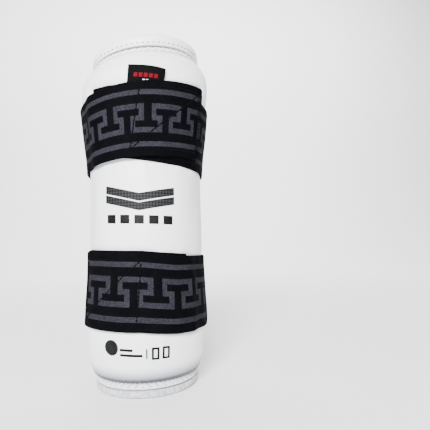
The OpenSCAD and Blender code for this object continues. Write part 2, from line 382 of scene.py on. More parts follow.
def webbing(name, black, grey):
    """Elastic jacquard webbing: knitted ribs, two border lines and a key pattern in grey yarn.
    The mesh's UVs are millimetres along and across the webbing."""
    n = Nodes(name)
    wander = n.noise(800, 2)
    along, across = (n.add("ShaderNodeSeparateXYZ", {0: n.cloth()}, axis) for axis in (0, 1))
    along = n.math("ADD", along, n.remap(wander, 0.3, 0.7, -0.16, 0.16))
    across = n.math("ADD", across, n.remap(wander, 0.3, 0.7, 0.16, -0.16))
    turn = n.math("FRACT", n.math("DIVIDE", along, KEY_REPEAT))
    down = n.math("DIVIDE", n.math("SUBTRACT", KEY_TOP, across), KEY_HEIGHT)
    total = n.between(n.math("ABSOLUTE", across), LINE_IN, LINE_OUT)
    for (top, bottom), spans in KEY_ROWS:
        row = n.between(down, top, bottom)
        for low, high in spans:
            total = n.math("ADD", total, n.math("MULTIPLY", row, n.between(turn, low, high)))
    pattern = n.math("MINIMUM", total, 1.0)

    knit = n.math("MULTIPLY", n.bands(n.cloth(), "X", 0.42, 0.6), n.bands(n.cloth(), "Y", 0.36, 0.6))
    worn = n.noise(90, 4)
    yarn = n.mix(n.remap(worn, 0.3, 0.7), grey, times(0.72, grey))
    yarn = n.mix(n.remap(knit, 0, 1, 0.35, 0), yarn, black)
    yarn = n.mix(n.remap(n.noise(1100, 2), 0.42, 0.62, 0, 0.3), yarn, times(2.4, grey))
    ground = n.mix(n.remap(worn, 0.35, 0.75), black, times(1.7, black))
    height = n.math("ADD", n.math("MULTIPLY", pattern, 0.6), n.math("MULTIPLY", knit, 0.7))
    normal = n.relief((height, 0.6, 0.3), (n.noise(1500, 3), 0.35, 0.2))
    rough = n.remap(pattern, 0, 1, 0.78, 0.7)
    return n.finish(n.mix(pattern, ground, yarn), rough, normal, Specular_IOR_Level=0.02)


def pile(name, colour, shade, scale, depth):
    """Hook or loop tape: a dense field of small tufts, depth mm deep."""
    n = Nodes(name)
    tufts = n.cells(scale)
    tint = n.mix(n.remap(tufts, 0, 0.7), shade, colour)
    return n.finish(tint, 0.9, n.relief((tufts, 0.9, depth)), Specular_IOR_Level=0.04)


def thread(name, colour):
    """Sewing thread, twisted from fine strands."""
    n = Nodes(name)
    normal = n.relief((n.bands(n.coords(), "DIAGONAL", 1200), 0.4, 0.1))
    tint = n.mix(n.noise(400, 2), colour, times(0.8, colour))
    return n.finish(tint, 0.75, normal, Specular_IOR_Level=0.05)


def printed_carbon(name, dark, light):
    """Printed film with a small twill weave drawn in two greys."""
    n = Nodes(name)
    turned = n.mapped(n.cloth(), Rotation=(0, 0, math.radians(45)))
    check = n.add("ShaderNodeTexChecker", {"Vector": turned, "Scale": 0.42}, "Fac")
    wear = n.noise(300, 3)
    tint = n.mix(n.remap(wear, 0.55, 0.8, 0, 0.3), n.mix(check, dark, light), light)
    return n.finish(tint, 0.55, n.relief((wear, 0.15, 0.05)), Specular_IOR_Level=0.12)


def printed_ink(name, colour, shade):
    """Plain printed film with a fine orange-peel surface."""
    n = Nodes(name)
    tint = n.mix(n.remap(n.noise(300, 3), 0.4, 0.8), colour, shade)
    return n.finish(tint, 0.5, n.relief((n.noise(1800, 2), 0.2, 0.06)), Specular_IOR_Level=0.12)


def label_satin(name, colour, shade):
    """Damask label cloth with fine even threads."""
    n = Nodes(name)
    threads = n.bands(n.cloth(), "Y", 1.0)
    normal = n.relief((threads, 0.4, 0.12), (n.noise(2200, 2), 0.2, 0.1))
    return n.finish(n.mix(threads, shade, colour), 0.7, normal, Specular_IOR_Level=0.04)


def stage_white(name, colour):
    """Matt paper, very slightly uneven."""
    n = Nodes(name)
    return n.finish(n.mix(n.noise(3, 2), colour, times(0.99, colour)), 0.9)


WHITE, OFF_WHITE = (0.87, 0.875, 0.89), (0.83, 0.838, 0.86)
LEATHER = pu_leather("white_leather", WHITE, OFF_WHITE)
EDGE_TAPE = pu_leather("edge_tape", WHITE, OFF_WHITE)
# The tape's second colour is painted shade, laid into the low parts of its weave.
TAPE = woven_tape("white_tape", (0.84, 0.845, 0.86), (0.42, 0.43, 0.46))
LINING = lining_knit("lining_knit", (0.8, 0.8, 0.82), (0.55, 0.56, 0.58))
FOAM = foam_skin("foam_grey", (0.42, 0.43, 0.45), (0.5, 0.51, 0.53))
WEBBING = webbing("key_webbing", (0.0012, 0.00125, 0.0018), (0.019, 0.019, 0.025))
LOOPS = pile("loop_pile", (0.002, 0.002, 0.0025), (0.001, 0.001, 0.0012), 1500, 0.5)
HOOKS = pile("hook_tape", (0.004, 0.004, 0.0045), (0.0015, 0.0015, 0.0018), 1100, 0.6)
WHITE_THREAD = thread("white_thread", (0.8, 0.8, 0.82))
GREY_THREAD = thread("grey_thread", (0.16, 0.17, 0.2))
SOFT_THREAD = thread("soft_grey_thread", (0.42, 0.43, 0.47))
BLACK_THREAD = thread("black_thread", (0.0015, 0.0015, 0.002))
PIPING = thread("piping_cord", (0.8, 0.8, 0.82))
PRINT = printed_carbon("carbon_print", (0.003, 0.0031, 0.0036), (0.022, 0.0225, 0.025))
INK = printed_ink("print_ink", (0.0025, 0.0026, 0.003), (0.008, 0.008, 0.009))
LABEL = label_satin("label_black", (0.0022, 0.0022, 0.0026), (0.0012, 0.0012, 0.0015))
LABEL_RED = label_satin("label_red", (0.15, 0.004, 0.01), (0.08, 0.002, 0.005))
LABEL_WHITE = label_satin("label_white", (0.8, 0.8, 0.8), (0.6, 0.6, 0.6))


# ---------------------------------------------------------------- the shell's shape

def back_of(z, inset=0.0):
    """How far back the shell's outline reaches at height z, inset from its edge."""
    y = np.full_like(np.asarray(z, float), BACK_Y - inset)
    for radius, edge, sign in ((TOP_CORNER, HEIGHT - inset, 1), (BOTTOM_CORNER, inset, -1)):
        r = radius - inset
        over = np.clip(sign * (z - (edge - sign * r)), 0, r)
        y = y - r + np.sqrt(np.maximum(r * r - over * over, 0))
    return y


def edge_angle(z, inset=0.0):
    """Angle from the front to the shell's side edge, less inset, at height z."""
    return np.arccos(np.clip(-back_of(z, inset) / RIM_MID_R, -1, 1))


def shell_grid(rows, across, inset):
    """Angles and heights of a grid over the shell, from edge to edge less inset."""
    phi = across[None, :] * edge_angle(rows, inset)[:, None]
    return phi, np.repeat(rows[:, None], len(across), axis=1)


def by_end(z, wrist, elbow):
    """A value that is wrist in the lower half of the shell and elbow in the upper half."""
    return wrist + (elbow - wrist) * smooth((z - HEIGHT / 2) / (20 * MM) + 0.5)


def from_edge(phi, z):
    """Distance in from the shell's outline, seen from the side, with rounded corners."""
    back = BACK_Y + np.cos(phi) * RIM_MID_R
    out = np.minimum(np.minimum(HEIGHT - z, z), back)
    for radius, depth in ((TOP_CORNER, HEIGHT - z), (BOTTOM_CORNER, z)):
        corner = radius - np.hypot(radius - depth, radius - back)
        out = np.where((depth < radius) & (back < radius), corner, out)
    return out


def body_r(z):
    """Radius of the pad along the forearm."""
    return (PAD_MID_R + TOP_BULGE * bell((z - TOP_BULGE_Z) / (75 * MM))
            + BOTTOM_BULGE * bell((z - BOTTOM_BULGE_Z) / (60 * MM)))


def puckers(s, wave):
    """Uneven small folds along s, about wave apart, between -1 and 1."""
    drift = 0.9 * np.sin(s / (wave * 5.3) + 0.7) + 0.6 * np.sin(s / (wave * 2.1) + 2.1)
    folds = np.sin(2 * np.pi * s / wave + 1.6 * drift)
    size = 0.65 + 0.35 * np.sin(s / (wave * 1.7) + 1.3 * drift)
    return folds * size


def gathers(phi, z):
    """Coarse and fine gathers that run round the shell's edge."""
    s = MARGIN_R * np.abs(phi) + np.minimum(z, HEIGHT - z)
    return puckers(s, 5.2 * MM), puckers(s + 3 * MM, 2.9 * MM)


# Angles in degrees along each strap from its sewn end, with the height of its middle in mm
UPPER_ROUTE = ((-44, 191.5), (-20, 189.5), (20, 186), (60, 184), (110, 182), (180, 181.5),
               (250, 182.5), (285, 183.5), (310, 185.5), (335, 187.8), (360, 189.7), (385, 190.6),
               (417, 191.9))
LOWER_ROUTE = ((-44, 70.4), (-20, 71.8), (0, 73.3), (60, 74.4), (110, 73), (250, 69), (275, 68.4),
               (330, 69.4), (360, 72.3), (400, 73.3), (422, 73.5))


def strapped(phi, z):
    """1 where either strap covers the pad, falling to 0 just outside them."""
    return np.maximum(*(strap.covers(strap.turn * phi, z) for strap in (UPPER, LOWER)))


class Settled:
    """How far the pad's face moves when it settles as cloth under pressure between its straps."""

    half_angle, step = math.radians(115), 3.2 * MM

    def __init__(self):
        self.phi = np.linspace(-self.half_angle, self.half_angle, 56)
        self.z = np.arange(0, HEIGHT + self.step, self.step)
        self.table = np.zeros((len(self.z), len(self.phi)))

    def at(self, phi, z):
        """Movement outwards at angle phi and height z."""
        across = np.clip((phi + self.half_angle) / (self.phi[1] - self.phi[0]), 0, len(self.phi) - 1.001)
        up = np.clip(z / self.step, 0, len(self.z) - 1.001)
        i, j = up.astype(int), across.astype(int)
        u, v = up - i, across - j
        t = self.table
        low = t[i, j] * (1 - v) + t[i, j + 1] * v
        high = t[i + 1, j] * (1 - v) + t[i + 1, j + 1] * v
        return (low * (1 - u) + high * u) * (1 - strapped(phi, z))

    def read(self, phi, z, moved):
        """Fills the table from scattered movements."""
        reach = 3.4 * MM
        for i, level in enumerate(self.z):
            near = np.abs(z - level) < 3 * reach
            if not near.any():
                continue
            gap = (phi[near][None, :] - self.phi[:, None]) * PAD_MID_R
            weight = np.exp(-(gap ** 2 + (z[near][None, :] - level) ** 2) / (2 * reach ** 2))
            self.table[i] = (weight * moved[near][None, :]).sum(axis=1) / (weight.sum(axis=1) + 0.05)
        self.table = np.round(self.table, 6)


def evaluated(obj):
    """A new mesh of obj with its modifiers applied."""
    graph = bpy.context.evaluated_depsgraph_get()
    return bpy.data.meshes.new_from_object(obj.evaluated_get(graph), depsgraph=graph)


def settle_pad():
    """Cloth simulation of the filled pad, held at its seam and by the straps."""
    scene = bpy.context.scene
    rows = np.linspace(PAD_SEAM[0] + 1 * MM, HEIGHT - PAD_SEAM[1] - 1 * MM, 70)
    phi, z = shell_grid(rows, np.linspace(-1, 1, 60), 12 * MM)
    pad = sheet_mesh("pad_cloth", place(phi, z, cover_r(phi, z) - 0.8 * MM), place(phi, z, CORE_R), FOAM)
    remesh = pad.modifiers.new("voxels", "REMESH")
    remesh.mode, remesh.voxel_size = "VOXEL", VOXEL
    pad.data = evaluated(pad)
    pad.modifiers.clear()
    before = coordinates(pad.data)
    at_phi = np.arctan2(before[:, 0], -before[:, 1])
    at_r = np.hypot(before[:, 0], before[:, 1])
    seam = from_edge(at_phi, before[:, 2]) - by_end(before[:, 2], *PAD_SEAM)
    outside = at_r > CORE_R + 2.5 * MM
    fixed = ~outside | (seam < 3 * MM) | (strapped(at_phi, before[:, 2]) > 0.5)
    held = pad.vertex_groups.new(name="held")
    held.add([int(i) for i in np.flatnonzero(fixed)], 1.0, "REPLACE")
    cloth = pad.modifiers.new("cloth", "CLOTH")
    values = {"quality": 8, "mass": 0.2, "tension_stiffness": 0.6, "compression_stiffness": 0.6,
              "shear_stiffness": 0.3, "bending_stiffness": 0.1, "use_pressure": True,
              "uniform_pressure_force": PRESSURE, "vertex_group_mass": held.name}
    for key, value in values.items():
        setattr(cloth.settings, key, value)
    cloth.settings.effector_weights.gravity = 0
    cloth.point_cache.frame_end = SETTLE_FRAMES
    for frame_no in range(1, SETTLE_FRAMES + 1):
        scene.frame_set(frame_no)
    result = evaluated(pad)
    after = coordinates(result)
    moved = np.clip(np.hypot(after[:, 0], after[:, 1]) - at_r, -6 * MM, 6 * MM)
    face = outside & (seam > 1 * MM)
    scene.frame_set(1)
    start = pad.data
    bpy.data.objects.remove(pad)
    for mesh in (start, result):
        bpy.data.meshes.remove(mesh)
    return at_phi[face], before[face, 2], moved[face]


def cover_r(phi, z):
    """Radius of the cover's outer face."""
    d = from_edge(phi, z)
    seam = by_end(z, *PAD_SEAM)
    e = d - seam
    swell = np.sqrt(np.clip(1 - (1 - np.clip(e / by_end(z, *SHOULDER), 0, 1)) ** 2, 0, 1))
    thick = body_r(z) - MARGIN_R
    fold, fine = gathers(phi, z)
    near_seam = np.exp(-np.clip(e, 0, None) / (4.5 * MM)) * smooth(e / (1.5 * MM))
    r = MARGIN_R + thick * swell
    r = r + near_seam * (0.42 * fold + 0.16 * fine) * MM
    # soft unevenness of the filled pad
    uneven = np.sin(phi * 3.1 + z * 31) * np.sin(z * 47 + 1.3) + np.sin(phi * 5.7 - z * 23 + 2)
    r = r + swell * 0.22 * MM * uneven
    r = r + SETTLED.at(phi, z) * swell
    # the pad swells out at its sides above the upper strap
    open_pad = (1 - UPPER.covers(phi, z)) ** 2 * bell((z - (HEIGHT - 34 * MM)) / (24 * MM))
    r = r + open_pad * np.sin(phi) ** 2 * (1.8 + 0.7 * np.sin(phi)) * MM * swell
    # the straps press the pad in
    for strap in (UPPER, LOWER):
        r = r - strap.press(strap.turn * phi, z) * swell
    r = r + strap_folds(phi, z) * swell
    # gathered margin between the rim and the pad, with a deep seam against the rim
    gather = ridge(d, seam - 2.2 * MM, 3.0 * MM)
    r = r + gather * (0.75 + 0.55 * fold + 0.4 * fine) * MM
    rim_fold = ridge(d, 11.6 * MM, 1.8 * MM) * by_end(z, 0, 1)
    r = r + rim_fold * (0.9 + 0.12 * fine) * MM
    r = r - 1.1 * MM * ridge(d, by_end(z, *RIM_GROOVE), 1.5 * MM)
    return r - 0.6 * MM * ridge(d, seam - 0.1 * MM, 1.1 * MM)


def strap_folds(phi, z):
    """Soft folds that fan out of the pad along the edges of the straps."""
    total = 0
    for strap in (UPPER, LOWER):
        along_strap = strap.turn * phi
        off = z - strap.middle(np.where(along_strap < 0, along_strap + 2 * np.pi, along_strap))
        gap = np.abs(off) - strap.width / 2
        fade = smooth((gap + 2 * MM) / (4 * MM)) * np.exp(-np.clip(gap, 0, None) / (7 * MM))
        drift = phi * MARGIN_R + 0.35 * gap * np.sin(phi * 4 + np.sign(off))
        folds = 0.34 * puckers(drift, 13 * MM) + 0.14 * puckers(drift + 5 * MM, 6 * MM)
        total = total + fade * folds * MM
    return total


def painted_shade(phi, z):
    """Painted shade on the cover, from 0 to 1, for the shading of its material: a painted shadow in the
    deep seam next to the rim, lighter painted shade at the pad's seam, a broad painted shadow under the
    pad's overhang at the wrist end, and painted shade in the gaps between the gathers there.
    """
    d = from_edge(phi, z)
    seam, lower = by_end(z, *PAD_SEAM), by_end(z, 1, 0)
    # Painted shadow in the deep seam next to the rim, and lighter painted shade at the pad's seam.
    at_rim = ridge(d, by_end(z, *RIM_GROOVE), 1.5 * MM)
    at_pad = ridge(d, seam + 0.6 * MM, 2.4 * MM)
    e = d - seam
    # Painted shadow under the pad's overhang, at the wrist end only, fading out about 12 mm up the pad.
    under = lower * (1 - smooth((e - 1 * MM) / (12 * MM))) * smooth((e + 1.2 * MM) / (1.6 * MM))
    # Painted shade in the gaps between the gathers of the wrist end's strip.
    folds, fine = (0.5 + 0.5 * size for size in gathers(phi, z))
    gaps = 0.75 * (1 - folds) ** 2 + 0.25 * (1 - fine) ** 2
    strip = lower * ridge(d, 8.4 * MM, 2.4 * MM) * gaps
    return np.clip(at_rim + (0.16 + 0.1 * lower) * at_pad + 0.97 * under + 0.95 * strip, 0, 1)


def cover_rows():
    """Heights for the cover's grid, close together at both ends."""
    ends = COVER_INSET + np.arange(0, 30 * MM, 0.55 * MM)
    middle = np.arange(COVER_INSET + 30 * MM, HEIGHT - COVER_INSET - 30 * MM, 1.4 * MM)
    return np.concatenate([ends, middle, (HEIGHT - ends)[::-1]])


def make_cover():
    """The leather cover with its margins, a closed piece down to the inner face of the pad."""
    across = np.linspace(-1, 1, 241)
    across = across - 0.045 * np.sin(2 * np.pi * across)
    phi, z = shell_grid(cover_rows(), across, COVER_INSET)
    outer, inner = place(phi, z, cover_r(phi, z)), place(phi, z, CORE_R + 0.1 * MM)
    cover = sheet_mesh("cover", outer, inner, LEATHER)
    # Painted shade for the seams and the painted shadow under the pad, stored on the outer face's points;
    # the inner face gets 0.
    shade = cover.data.attributes.new("painted_shade", "FLOAT", "POINT")
    depth = np.concatenate([painted_shade(phi, z).ravel(), np.zeros(phi.size)])
    shade.data.foreach_set("value", depth.astype(np.float32))
    on_guard(cover, "pu_leather", "outer_cover", "top_collar", "bottom_collar")


def shell_solid(name, r_in, r_out, inset, mat, node, slot, wave=0.0):
    """A layer of the shell between two radii. The outer one may be a function of angle and height."""
    middle = np.linspace(inset + 1 * MM, HEIGHT - inset - 1 * MM, 90)
    rows = np.concatenate([[inset], middle, [HEIGHT - inset]])
    phi, z = shell_grid(rows, np.linspace(-1, 1, 121), inset)
    ripple = wave * (np.sin(phi * 9 + z * 60) * np.sin(z * 90 + 1) + 0.6 * np.sin(phi * 17 - z * 45))
    outer = place(phi, z, r_out(phi, z) if callable(r_out) else r_out)
    obj = on_guard(sheet_mesh(name, outer, place(phi, z, r_in + ripple), mat), slot, node)


# ---------------------------------------------------------------- the rim

def rim_path(part):
    """Points (angle, height) and inward directions along a stretch of the shell's edge."""
    side = edge_angle(HEIGHT / 2)
    if part in ("left", "right"):
        z = np.linspace(BOTTOM_CORNER, HEIGHT - TOP_CORNER, 160)
        sign = -1 if part == "left" else 1
        return np.full_like(z, sign * side), z, np.full_like(z, -sign), np.zeros_like(z)
    radius, edge, up = (TOP_CORNER, HEIGHT, 1) if part == "top" else (BOTTOM_CORNER, 0.0, -1)
    flat = np.arccos(np.clip(-(BACK_Y - radius) / RIM_MID_R, -1, 1))
    straight = np.linspace(-flat, flat, 150)
    t = np.linspace(0, np.pi / 2, 36)[1:]
    corner_phi = np.arccos(np.clip(-(BACK_Y - radius + radius * np.sin(t)) / RIM_MID_R, -1, 1))
    corner_z = edge - up * radius * (1 - np.cos(t))
    phi = np.concatenate([-corner_phi[::-1], straight, corner_phi])
    z = np.concatenate([corner_z[::-1], np.full_like(straight, edge), corner_z])
    inward_phi = np.concatenate([np.sin(t)[::-1], np.zeros_like(straight), -np.sin(t)])
    inward_z = -up * np.concatenate([np.cos(t)[::-1], np.ones_like(straight), np.cos(t)])
    return phi, z, inward_phi, inward_z


def make_binding(name, part, mat, node, slot, rough, wave):
    """Covering folded round the rim, a tape at the wrist and a rolled lip at the elbow.
    rough is how deep its small folds are, and wave how far apart."""
    phi, z, in_phi, in_z = rim_path(part)
    s = running(np.hypot(np.diff(phi) * RIM_MID_R, np.diff(z)))
    wrist, elbow = (np.array(outline)[None, :, :] * MM for outline in (FOLDED_TAPE, ROLLED_LIP))
    outline = wrist + (elbow - wrist) * by_end(z, 0, 1)[:, None, None]
    radius, depth = outline[:, :, 0], outline[:, :, 1]
    fold = puckers(s[:, None] + 0.4 * depth, wave)
    grain = rng.normal(0, 1, depth.shape)
    outwards = np.where(radius > RIM_MID_R, 1, -1)
    r = radius + outwards * (rough * fold + 0.5 * rough * grain) * np.where(depth < 6 * MM, 1, 0.2)
    turned = phi[:, None] + in_phi[:, None] * depth / RIM_MID_R
    height = z[:, None] + in_z[:, None] * depth
    height = height if part in ("left", "right") else np.clip(height, 0, HEIGHT)
    uv = np.stack(np.broadcast_arrays(s[:, None] / MM, (np.arange(depth.shape[1]) * 0.9)[None, :]), -1)
    on_guard(swept(name, place(turned, height, r), mat, uv.reshape(-1, 2), sharp=60), slot, node)


# Outlines of the rim's coverings: (radius, distance in from the edge) in mm, from the outer lower end round
ROLLED_LIP = ((40.2, 9.0), (41.1, 9.2), (41.7, 8.7), (41.75, 7.8), (41.45, 7.2), (41.8, 6.5), (41.95, 5.0),
              (41.8, 3.2), (41.2, 1.7), (40.3, 0.6), (39.0, 0.12), (37.5, 0.0), (36.0, 0.12), (34.8, 0.6),
              (34.2, 1.6), (34.0, 3.0), (34.1, 4.6), (34.4, 6.2), (35.1, 6.4), (36.5, 5.0), (38.5, 5.0))
FOLDED_TAPE = ((40.1, 5.2), (40.7, 5.3), (41.0, 4.9), (41.05, 4.4), (41.05, 3.9), (41.05, 3.4), (41.0, 2.7),
               (40.85, 1.9), (40.6, 1.1), (40.1, 0.5), (39.0, 0.08), (37.5, 0.0), (36.0, 0.08), (35.0, 0.5),
               (34.4, 1.6), (34.2, 3.2), (34.2, 4.8), (34.3, 6.4), (35.0, 6.6), (36.5, 5.0), (38.5, 5.0))


# ---------------------------------------------------------------- stitches

def stitch_run(name, points, normals, pitch, length, thick, mat):
    """Separate stitches along a line of points, each a short thread that dips at both ends."""
    points, normals = np.asarray(points, float), np.asarray(normals, float)
    s = running(np.linalg.norm(np.diff(points, axis=0), axis=1))
    verts, faces = [], []
    ring = np.linspace(0, 2 * np.pi, 7)[:-1]
    steps = np.linspace(0, 1, 6)
    lift = np.sin(np.pi * steps)
    for start in np.arange(pitch * 0.4, s[-1] - length, pitch):
        base = len(verts)
        at = start + steps * length
        p = np.stack([np.interp(at, s, points[:, i]) for i in range(3)], -1)
        nrm = np.stack([np.interp(at, s, normals[:, i]) for i in range(3)], -1)
        nrm /= np.linalg.norm(nrm, axis=1)[:, None]
        t = p[-1] - p[0]
        t /= np.linalg.norm(t)
        side = np.cross(t, nrm)
        for i in range(6):
            half = thick * (0.45 + 0.55 * lift[i]) / 2
            centre = p[i] + nrm[i] * thick * (0.45 * lift[i] - 0.25)
            verts += [centre + half * (np.cos(q) * side[i] + np.sin(q) * nrm[i]) for q in ring]
        faces += grid_faces(6, 6, closed=True, offset=base)
        faces.append(tuple(base + q for q in range(5, -1, -1)))
        faces.append(tuple(base + 30 + q for q in range(6)))
    return solid(name, verts, faces, mat)


def inset_line(inset, top=True, count=400):
    """Angle and height along a line a set distance in from the top or bottom edge."""
    level = HEIGHT - inset if top else inset
    limit = edge_angle(level, inset)
    return np.linspace(-limit, limit, count), np.full(count, level)


# ---------------------------------------------------------------- straps

def hinge_angles(name):
    """The angles of a strap's hinges along it, in order, from the frame's joints."""
    names = [f"{name}_strap_unwrap"] + [f"{name}_strap_bend_{i}" for i in range(2, SECTIONS + 1)]
    by_name = {j["name"]: j["pos_m"] for j in frame["joints"]}
    turn = 1 if name == "upper" else -1
    out = []
    for joint in names:
        x, y, _ = by_name[joint]
        angle = math.atan2(turn * x, -y) % (2 * math.pi)
        while out and angle < out[-1]:
            angle += 2 * math.pi
        out.append(angle)
    return out


class Strap:
    """One strap as a band that starts at its sewn end and spirals round to its free end."""

    def __init__(self, name, turn, route, width, key_at, key_turn, presses, box):
        """key_at is where a repeat of the pattern begins on the outer layer, and key_turn its angle.
        presses gives, at angles from the front, how far the pad gives way under the strap.
        box is how long the stitched box at the free end is, along its upper and its lower side."""
        self.name, self.turn, self.route, self.width, self.box = name, turn, route, width, box
        self.start, self.end = math.radians(route[0][0]), math.radians(route[-1][0])
        self.hinges = hinge_angles(name)
        self.key_at, self.key_turn = key_at, key_turn
        self.presses = presses
        self.leave = self.hinges[0] - math.radians(10)
        self.mids = [(a + b) / 2 for a, b in zip(self.hinges, self.hinges[1:] + [self.end])]
        self.bodies = ["guard"] + [f"{name}_section_{i + 1}" for i in range(SECTIONS)]

    def pressed(self, phi):
        """How far the pad gives way at angle phi, the same for both layers there."""
        front = np.degrees((phi + math.pi) % (2 * math.pi) - math.pi)
        angles, depths = zip(*self.presses)
        return np.interp(front, angles, np.array(depths) * MM)

    def covers(self, phi, z):
        """1 under either layer of the strap, falling to 0 just outside it."""
        depth = 0
        for layer in (phi, phi + 2 * math.pi):
            covered = smooth((layer - self.start) / 0.1 + 1) * smooth((self.end - layer) / 0.1 + 1)
            inside = smooth((self.width / 2 + 3.5 * MM - np.abs(z - self.middle(layer))) / (5 * MM))
            depth = np.maximum(depth, covered * inside)
        return depth

    def press(self, phi, z):
        """How far the pad's surface is pressed in, under either layer of the strap."""
        return self.covers(phi, z) * self.pressed(phi)

    def lift(self, phi):
        """Gap between the pressed pad and the band's inner face."""
        over = phi - 2 * math.pi
        climb = smooth((over - (self.start - math.radians(16))) / math.radians(15))
        back = smooth((phi - self.hinges[0] + 0.2) / 1.2)
        on_loops = STRAP_T + 2 * PATCH_T + 0.25 * MM
        return 0.35 * MM + back * 0.3 * MM + climb * (on_loops - 0.3 * MM)

    def middle(self, phi):
        """Height of the band's middle."""
        angles, heights = zip(*self.route)
        return np.interp(phi, np.radians(angles), np.array(heights) * MM)

    def inner_r(self, phi, z):
        """Radius of the band's inner face."""
        return body_r(z) - self.pressed(phi) + self.lift(phi)

    def length(self, phi):
        """Length along the band from its sewn end."""
        return (phi - self.start) * PAD_MID_R * 1.06

    def surface(self, phi, across, out):
        """Points on the band at angle phi, a length across it, and out from its inner face."""
        z = self.middle(phi) + across
        wave = 0.1 * MM * np.sin(phi * 21 + across * 90) * np.sin(across * 160 + 1)
        edge = smooth((np.abs(across) - 0.43 * self.width) / (0.07 * self.width))
        curl = 0.15 * MM * edge * np.sin(phi * 13 + np.sign(across))
        r = self.inner_r(phi, z) + out + wave + curl - self.dent(phi, across)
        return place(self.turn * phi, z, r)

    def box_start(self, across):
        """Length from the free end back to the box stitching's far side, which leans."""
        upper, lower = self.box
        return lower + (upper - lower) * (across / (2 * BOX_HALF) + 0.5)

    def dent(self, phi, across):
        """How far the stitches of the hook patch pull the webbing in."""
        near = self.length(self.end) - self.length(phi)
        start = self.box_start(across)
        inside = (near < start) & (near > 0) & (np.abs(across) < BOX_HALF + 1 * MM)
        lines = ridge(near, start, 1.1 * MM) * (np.abs(across) < BOX_HALF)
        lines = lines + ridge(near, HEM[0], 0.8 * MM) + ridge(near, HEM[1], 0.8 * MM)
        lines = lines + inside * ridge(np.abs(across), BOX_HALF, 0.8 * MM)
        lines = lines + inside * ridge(near - self.diagonal(across), 0, 1.2 * MM)
        return 0.32 * MM * np.clip(lines, 0, 1)

    def diagonal(self, across):
        """Length from the free end to the diagonal stitching."""
        share = 0.5 - self.turn * across / (2 * BOX_HALF)
        return self.box_start(-self.turn * BOX_HALF) * share + HEM[1] * (1 - share)

    def ring(self, phi, width, out_low, out_high, shrink=0.0, detail=61):
        """The band's outline at one angle: outer face, rounded selvedge, inner face, selvedge."""
        half = width / 2 - shrink
        v = np.linspace(-half, half, detail)
        thick = out_high - out_low
        edge = np.radians([60, 20, -20, -60])
        round_v = thick / 2 * np.cos(edge)
        round_r = (out_low + out_high) / 2 + thick / 2 * np.sin(edge)
        across = np.concatenate([v, half + round_v, v[::-1][::4], -half - round_v[::-1]])
        faces = np.full(len(v), out_high), np.full(len(v[::4]), out_low)
        out = np.concatenate([faces[0], round_r, faces[1], round_r[::-1]])
        return self.surface(np.full(len(across), phi), across, out), across

    def band(self, name, a0, a1, blend_at):
        """The webbing between two angles, with rounded corners at its free end."""
        count = max(int((a1 - a0) / math.radians(0.9)), 8)
        angles = np.linspace(a0, a1, count)
        corner = 2.0 * MM
        if a1 >= self.end - 1e-6:
            extra = self.end - corner / PAD_MID_R * (1 - np.sin(np.linspace(0, np.pi / 2, 6)))
            angles = np.concatenate([angles[angles < extra[0] - 0.002], extra])
        rings, uv = [], []
        for a in angles:
            short = max(corner - (self.end - a) * PAD_MID_R, 0)
            shrink = corner - math.sqrt(max(corner * corner - short ** 2, 0))
            points, across = self.ring(a, self.width, 0.0, STRAP_T, shrink)
            rings.append(points)
            turned = (self.turn * (math.degrees(a) - 360) - self.key_at) / self.key_turn
            lengthwise = np.full(len(across), turned * KEY_REPEAT)
            uv.append(np.stack([lengthwise, across * STRAP_W / self.width / MM], -1))
        obj = swept(name, rings, WEBBING, np.concatenate(uv), sharp=55)
        self.attach(obj, blend_at)
        return obj

    def attach(self, obj, j):
        """Fixes obj to the guard when j is below 0. Otherwise it only bakes obj's transform into its mesh,
        without bending it across the strap's hinge j.
        """
        if j < 0:
            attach(obj, "guard")
            return
        begin = self.leave if j == 0 else self.mids[j - 1]
        finish = self.mids[j]
        r = PAD_MID_R + 4 * MM
        z = self.middle(self.hinges[j])
        ends = [tuple(place(self.turn * a, z, r)) for a in (begin, finish)]
        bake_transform(obj)

    def build(self):
        """Cuts the band between its hinges and adds its patches and stitches."""
        cuts = [self.start, self.leave] + self.mids[:-1] + [self.end]
        for j, (a0, a1) in enumerate(zip(cuts, cuts[1:]), -1):
            obj = self.band(f"{self.name}_band_{j + 1}", a0, a1, j)
            nodes = [f"{self.name}_strap_base" if j < 0 else f"{self.name}_strap_{j + 1}"]
            if j == SECTIONS - 1:
                nodes.append(f"{self.name}_end_hem")
            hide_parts(*nodes)
        per = self.length(self.start + 1)
        self.patch("hook_patch", HOOKS, self.end - min(self.box) / per, self.end - 0.02,
                   -PATCH_T, SECTIONS - 1)
        landing = self.end - 2 * math.pi
        self.patch("loop_patch", LOOPS, landing - 1.35, landing + 0.02, STRAP_T, -1)
        self.stitches()

    def patch(self, kind, mat, a0, a1, low, blend_at):
        """Hook or loop tape between two angles, its lower face low above the band's inner face."""
        a0 = max(a0, self.start + 0.05)
        rings = [self.ring(a, PATCH_W, low, low + PATCH_T, detail=41)[0] for a in np.linspace(a0, a1, 60)]
        obj = swept(f"{self.name}_{kind}", rings, mat, sharp=50)
        self.attach(obj, blend_at)
        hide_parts(f"{self.name}_{kind}")

    def stitches(self):
        """Box stitching of the hook patch with one diagonal, and the hem's double line."""
        per = self.length(self.start + 1)
        rows = np.linspace(-BOX_HALF, BOX_HALF, 120)
        runs = [(self.end - self.box_start(rows) / per, rows), (self.end - self.diagonal(rows) / per, rows)]
        runs += [(np.full(120, self.end - d / per), rows) for d in HEM]
        for side in (-1, 1):
            edge = np.full(120, side * BOX_HALF)
            runs.append((self.end - np.linspace(self.box_start(side * BOX_HALF), HEM[1], 120) / per, edge))
        for k, (phi, across) in enumerate(runs):
            p = self.surface(phi, across, STRAP_T + 0.1 * MM)
            obj = stitch_run(f"{self.name}_box_stitch_{k + 1}", p, facing(self.turn * phi),
                             2.6 * MM, 2.7 * MM, 1.1 * MM, BLACK_THREAD)
            self.attach(obj, SECTIONS - 1)


